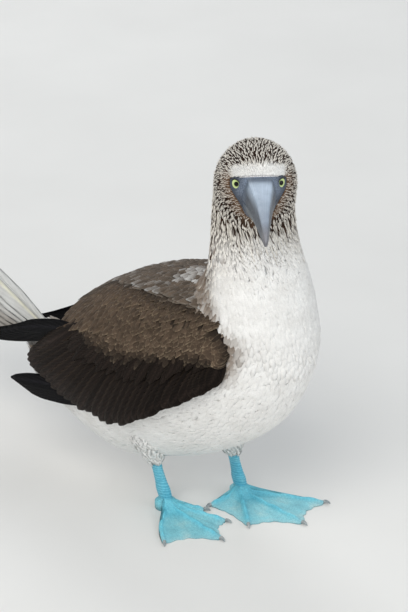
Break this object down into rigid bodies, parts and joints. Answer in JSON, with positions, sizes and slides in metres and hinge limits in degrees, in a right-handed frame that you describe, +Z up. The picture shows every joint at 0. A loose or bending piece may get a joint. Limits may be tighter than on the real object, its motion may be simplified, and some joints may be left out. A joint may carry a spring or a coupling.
{
  "type": "blue-footed booby",
  "caption": "Life-size still model of a blue-footed booby standing on its webbed blue feet, head turned to its right, wings folded, tail raised.",
  "frame": {"origin": "on the floor, under the middle of the bird's box", "axes": "-Y the way the body faces, +X to the bird's left, +Z up"},
  "size_m": [0.1822, 0.534, 0.4088],
  "materials": {
    "white_feather": "matt, soft",
    "speckled_feather": "matt, streaked",
    "brown_feather": "matt, pale fringes",
    "tail_feather": "matt, pale shafts",
    "bill": "satin horn",
    "eye": "wet gloss",
    "blue_skin": "matt, wrinkled",
    "claw": "satin horn"
  },
  "bodies": {
    "root": {"torso": "white_feather", "neck": "speckled_feather", "head": "speckled_feather", "eye_right": "eye", "eye_left": "eye", "bill_upper": "bill", "bill_lower": "bill", "wing_right": "brown_feather", "wing_left": "brown_feather", "tail": "tail_feather", "leg_right": "blue_skin", "leg_left": "blue_skin", "foot_right": "blue_skin", "foot_left": "blue_skin", "claw_right_1": "claw", "claw_right_2": "claw", "claw_right_3": "claw", "claw_right_4": "claw", "claw_left_1": "claw", "claw_left_2": "claw", "claw_left_3": "claw", "claw_left_4": "claw"}
  },
  "joints": []
}
